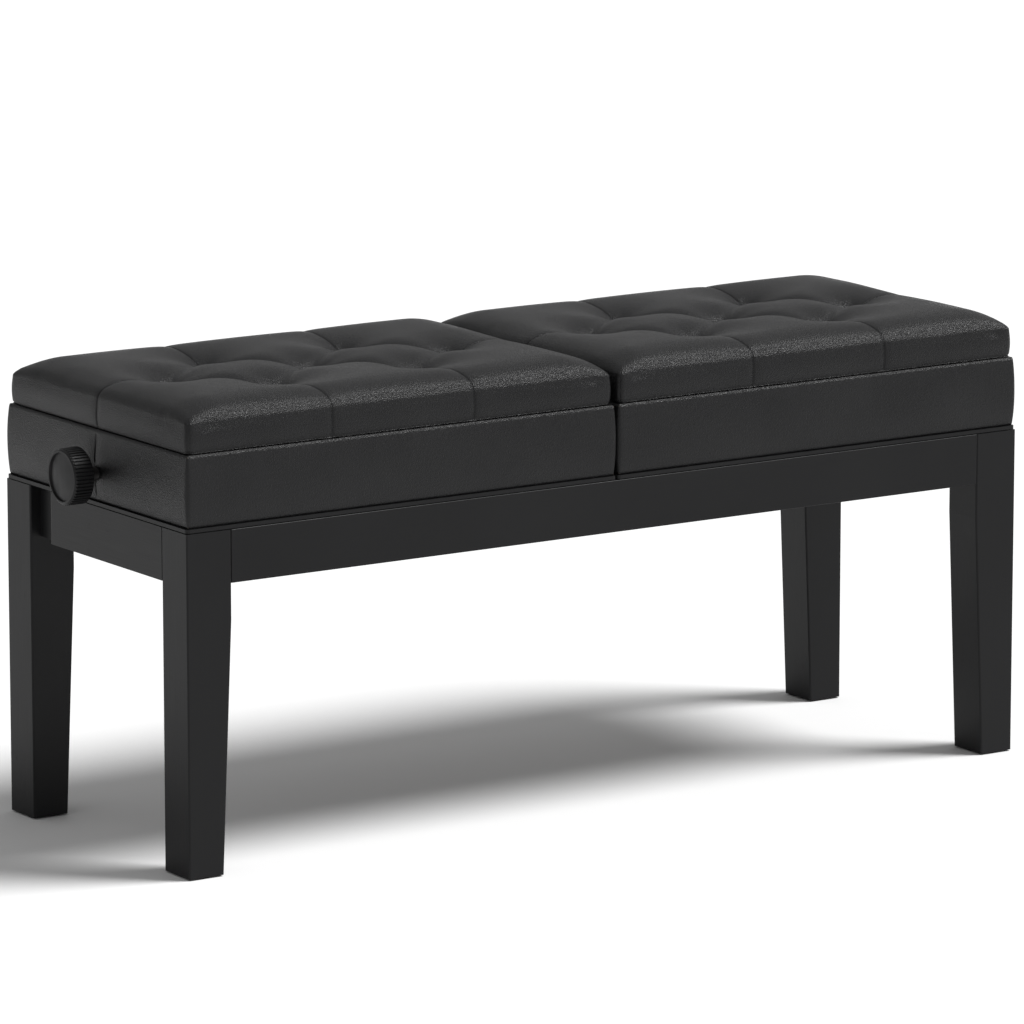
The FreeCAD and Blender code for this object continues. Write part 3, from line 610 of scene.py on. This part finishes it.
class Tree:
    """A material's node tree, with its Principled shader."""

    def __init__(self, name, colour, roughness, metallic=0.0, specular=0.5):
        self.material = bpy.data.materials.new(name)
        self.material.use_nodes = True
        self.tree = self.material.node_tree
        self.shader = self.tree.nodes["Principled BSDF"]
        self.shader.inputs["Base Color"].default_value = (*colour, 1)
        self.shader.inputs["Roughness"].default_value = roughness
        self.shader.inputs["Metallic"].default_value = metallic
        self.shader.inputs["Specular IOR Level"].default_value = specular
        self.place = self.add("ShaderNodeTexCoord").outputs["Object"]

    def add(self, kind, **values):
        node = self.tree.nodes.new(kind)
        for name, value in values.items():
            setattr(node, name, value)
        return node

    def link(self, a, b):
        self.tree.links.new(a, b)

    def stretched(self, scale):
        """Object coordinates multiplied along each axis."""
        mapping = self.add("ShaderNodeMapping")
        mapping.inputs["Scale"].default_value = scale
        self.link(self.place, mapping.inputs["Vector"])
        return mapping.outputs["Vector"]

    def noise(self, scale, detail=3.0, roughness=0.5, vector=None):
        node = self.add("ShaderNodeTexNoise")
        node.inputs["Scale"].default_value = scale
        node.inputs["Detail"].default_value = detail
        node.inputs["Roughness"].default_value = roughness
        self.link(vector or self.place, node.inputs["Vector"])
        return node.outputs["Fac"]

    def cells(self, scale):
        node = self.add("ShaderNodeTexVoronoi", feature="F1")
        node.inputs["Scale"].default_value = scale
        self.link(self.place, node.inputs["Vector"])
        return node.outputs["Distance"]

    def spread(self, value, low, high, start=0.3, end=0.7):
        """value between start and end, spread from low to high."""
        node = self.add("ShaderNodeMapRange")
        for name, number in (("From Min", start), ("From Max", end), ("To Min", low), ("To Max", high)):
            node.inputs[name].default_value = number
        self.link(value, node.inputs["Value"])
        return node.outputs["Result"]

    def combined(self, operation, a, b):
        node = self.add("ShaderNodeMath", operation=operation)
        for socket, value in zip(node.inputs, (a, b)):
            if isinstance(value, (int, float)):
                socket.default_value = value
            else:
                self.link(value, socket)
        return node.outputs["Value"]

    def mixed(self, factor, low, high):
        """Colour between low and high."""
        node = self.add("ShaderNodeMix", data_type="RGBA")
        self.link(factor, node.inputs["Factor"])
        for name, colour in (("A", low), ("B", high)):
            socket = [s for s in node.inputs if s.name == name and s.type == "RGBA"][0]
            socket.default_value = (*colour, 1)
        return [s for s in node.outputs if s.type == "RGBA"][0]

    def bump(self, height, distance, strength):
        node = self.add("ShaderNodeBump")
        node.inputs["Strength"].default_value = strength
        node.inputs["Distance"].default_value = distance
        self.link(height, node.inputs["Height"])
        return node.outputs["Normal"]

    def finish(self, colour, roughness, normal=None):
        for value, name in ((colour, "Base Color"), (roughness, "Roughness"), (normal, "Normal")):
            if value is not None:
                self.link(value, self.shader.inputs[name])
        return self.material


def leather():
    t = Tree("black_leather", (0.012, 0.012, 0.0125), 0.5, specular=0.2)
    warp = t.noise(260, 2)
    pebbles = t.combined("ADD", t.cells(900), t.combined("MULTIPLY", warp, 0.15))
    fine = t.noise(1500, 2)
    grain = t.combined("ADD", pebbles, t.combined("MULTIPLY", fine, 0.35))
    broad = t.noise(9, 3)
    rough = t.combined("ADD", t.spread(broad, 0.29, 0.37), t.spread(pebbles, 0.04, -0.04, 0.2, 1.0))
    colour = t.mixed(t.spread(t.noise(14, 4), 0, 1), (0.0095, 0.0095, 0.01), (0.0125, 0.0125, 0.013))
    normal = t.bump(grain, 0.0006, 0.7)
    return t.finish(colour, rough, normal)


def paint(name, grain):
    """Satin black paint over wood whose grain is stretched the way the scale says."""
    t = Tree(name, (0.011, 0.011, 0.0115), 0.42, specular=0.18)
    lines = t.noise(1.0, 4, 0.6, t.stretched(grain))
    peel = t.noise(420, 2)
    scuffs = t.spread(t.noise(60, 6, 0.7), 0, 1, 0.62, 0.72)
    height = t.combined("ADD", t.combined("MULTIPLY", lines, 0.6), t.combined("MULTIPLY", peel, 0.4))
    rough = t.combined("ADD", t.spread(lines, 0.38, 0.46), t.combined("MULTIPLY", scuffs, 0.1))
    colour = t.mixed(t.spread(t.noise(6, 3), 0, 1), (0.0075, 0.0075, 0.008), (0.0095, 0.0095, 0.010))
    return t.finish(colour, rough, t.bump(height, 0.00012, 0.5))


def plastic():
    t = Tree("black_plastic", (0.014, 0.014, 0.0145), 0.42, specular=0.18)
    sand = t.noise(1800, 3)
    rough = t.spread(t.noise(70, 3), 0.36, 0.5)
    colour = t.mixed(t.spread(t.noise(40, 2), 0, 1), (0.0095, 0.0095, 0.01), (0.0125, 0.0125, 0.013))
    return t.finish(colour, rough, t.bump(sand, 0.00006, 0.6))


def black_steel():
    t = Tree("black_steel", (0.02, 0.02, 0.021), 0.45)
    rough = t.spread(t.noise(50, 4), 0.38, 0.55)
    colour = t.mixed(t.spread(t.noise(25, 4), 0, 1), (0.018, 0.018, 0.019), (0.03, 0.029, 0.028))
    return t.finish(colour, rough, t.bump(t.noise(1300, 3), 0.00008, 0.6))


# Blackened steel for the lead screw. Its very dark colour is partly painted shade, standing in for the
# shadow round the shaft beside the knob.
def dark_steel_and_painted_shade():
    t = Tree("blackened_steel_and_painted_shade", (0.05, 0.05, 0.052), 0.4, metallic=1.0)
    rough = t.spread(t.noise(90, 4), 0.3, 0.5)
    colour = t.mixed(t.spread(t.noise(45, 5), 0, 1), (0.012, 0.012, 0.0125), (0.03, 0.029, 0.028))
    return t.finish(colour, rough, t.bump(t.noise(1400, 3), 0.00003, 0.5))


def bright_steel():
    t = Tree("bright_steel", (0.5, 0.5, 0.51), 0.3, metallic=1.0)
    brushed = t.noise(1.0, 3, 0.6, t.stretched((60, 2600, 2600)))
    rough = t.spread(t.noise(90, 4), 0.22, 0.42)
    colour = t.mixed(t.spread(t.noise(35, 5), 0, 1, 0.4, 0.75), (0.52, 0.52, 0.53), (0.36, 0.34, 0.32))
    return t.finish(colour, rough, t.bump(brushed, 0.00003, 0.5))


def bronze():
    t = Tree("bronze", (0.45, 0.3, 0.16), 0.38, metallic=1.0)
    rough = t.spread(t.noise(80, 4), 0.3, 0.5)
    colour = t.mixed(t.spread(t.noise(60, 4), 0, 1), (0.46, 0.31, 0.16), (0.3, 0.2, 0.11))
    return t.finish(colour, rough, t.bump(t.noise(900, 3), 0.00004, 0.6))


def plywood(name, grain):
    t = Tree(name, (0.09, 0.07, 0.05), 0.7)
    lines = t.noise(1.0, 5, 0.65, t.stretched(grain))
    colour = t.mixed(t.spread(lines, 0, 1), (0.06, 0.045, 0.032), (0.12, 0.092, 0.066))
    return t.finish(colour, t.spread(lines, 0.62, 0.8), t.bump(lines, 0.0002, 0.6))


def felt():
    t = Tree("felt", (0.02, 0.02, 0.02), 0.95)
    fibres = t.combined("ADD", t.noise(900, 5, 0.7), t.cells(1400))
    colour = t.mixed(t.spread(t.noise(300, 3), 0, 1), (0.015, 0.015, 0.015), (0.03, 0.03, 0.03))
    return t.finish(colour, t.spread(fibres, 0.88, 1.0, 0.3, 1.2), t.bump(fibres, 0.0005, 0.7))


def floor_material():
    t = Tree("floor", (0.82, 0.82, 0.82), 0.8, specular=0.2)
    colour = t.mixed(t.spread(t.noise(0.6, 2), 0, 1), (0.815, 0.815, 0.815), (0.83, 0.83, 0.83))
    return t.finish(colour, t.spread(t.noise(30, 3), 0.75, 0.85))


# Scales of wood grain that runs along each axis
ALONG_X = (14, 900, 900)
ALONG_Y = (900, 14, 900)
ALONG_Z = (900, 900, 14)
MATERIALS = {
    "black_leather": leather(),
    "paint_x": paint("black_paint_x", ALONG_X),
    "paint_y": paint("black_paint_y", ALONG_Y),
    "paint_z": paint("black_paint_z", ALONG_Z),
    "ply_x": plywood("bare_plywood_x", ALONG_X),
    "ply_y": plywood("bare_plywood_y", ALONG_Y),
    "black_plastic": plastic(),
    "black_steel": black_steel(),
    "bright_steel": bright_steel(),
    "screw": dark_steel_and_painted_shade(),
    "bronze": bronze(),
    "felt": felt(),
}


def look_for(slot, node):
    """The material of a slot, with the grain of wood along the piece."""
    if slot == "black_paint":
        return MATERIALS["paint_z" if "leg" in node else "paint_y" if "end" in node else "paint_x"]
    if slot == "bare_plywood":
        return MATERIALS["ply_y" if "outer" in node or "inner" in node else "ply_x"]
    # Screws get the very dark steel instead of their bright steel slot: partly a black finish, partly
    # painted shade round the shaft.
    return MATERIALS["screw" if node.endswith("_screw") else slot]


def finish_piece(obj, body, slot):
    obj.data.materials.clear()
    obj.data.materials.append(look_for(slot, obj.name))
    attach(obj, body)


def paint_nodes():
    slots = {part["node"]: part["material_slot"] for part in frame["record"]["subparts"]}
    for name, node in frame["nodes"].items():
        if slots[name] == "cushion_filling":
            continue
        node.data.materials.clear()
        node.data.materials.append(look_for(slots[name], name))
        for ending, width in SOFT_EDGES.items():
            if name.endswith(ending):
                soften_edges(node, width)


def soften_edges(obj, width):
    """Rounds the sharp edges of a piece a little, so that they catch light."""
    bevel = obj.modifiers.new("soft_edges", "BEVEL")
    bevel.width = width * MM
    bevel.segments = 2
    bevel.limit_method = "ANGLE"
    bevel.angle_limit = math.radians(40)
    bevel.use_clamp_overlap = True
    bevel.harden_normals = True


# Surroundings

def soft_sun(name, direction, strength, angle):
    light = bpy.data.lights.new(name, "SUN")
    light.energy = strength
    light.angle = math.radians(angle)
    obj = bpy.data.objects.new(name, light)
    bpy.context.scene.collection.objects.link(obj)
    obj.rotation_euler = Vector(direction).to_track_quat("-Z", "Y").to_euler()


def surroundings():
    corners = [(x * FLOOR_REACH, y * FLOOR_REACH, 0) for x, y in ((-1, -1), (1, -1), (1, 1), (-1, 1))]
    floor = new_object("floor", corners, [(0, 1, 2, 3)])
    floor.data.materials.append(floor_material())
    world = bpy.data.worlds.new("studio")
    world.use_nodes = True
    background = world.node_tree.nodes["Background"]
    background.inputs["Color"].default_value = (1, 1, 1, 1)
    background.inputs["Strength"].default_value = WORLD_STRENGTH
    bpy.context.scene.world = world
    soft_sun("key", KEY_DIRECTION, KEY_STRENGTH, KEY_ANGLE)


def camera():
    azimuth, elevation = math.radians(CAMERA_AZIMUTH), math.radians(CAMERA_ELEVATION)
    back = Vector((math.sin(azimuth) * math.cos(elevation), -math.cos(azimuth) * math.cos(elevation),
                   math.sin(elevation)))
    data = bpy.data.cameras.new("camera")
    data.sensor_width = 36
    data.lens = LENS
    data.clip_end = 200
    obj = bpy.data.objects.new("camera", data)
    bpy.context.scene.collection.objects.link(obj)
    obj.location = CAMERA_TARGET + back * CAMERA_DISTANCE
    obj.rotation_euler = (-back).to_track_quat("-Z", "Y").to_euler()
    bpy.context.scene.camera = obj


paint_nodes()
for side in SIDES:
    cushion(side)
    box_wrap(side)
    lead_screw(side)
surroundings()
camera()
bpy.context.scene.view_settings.view_transform = "Standard"
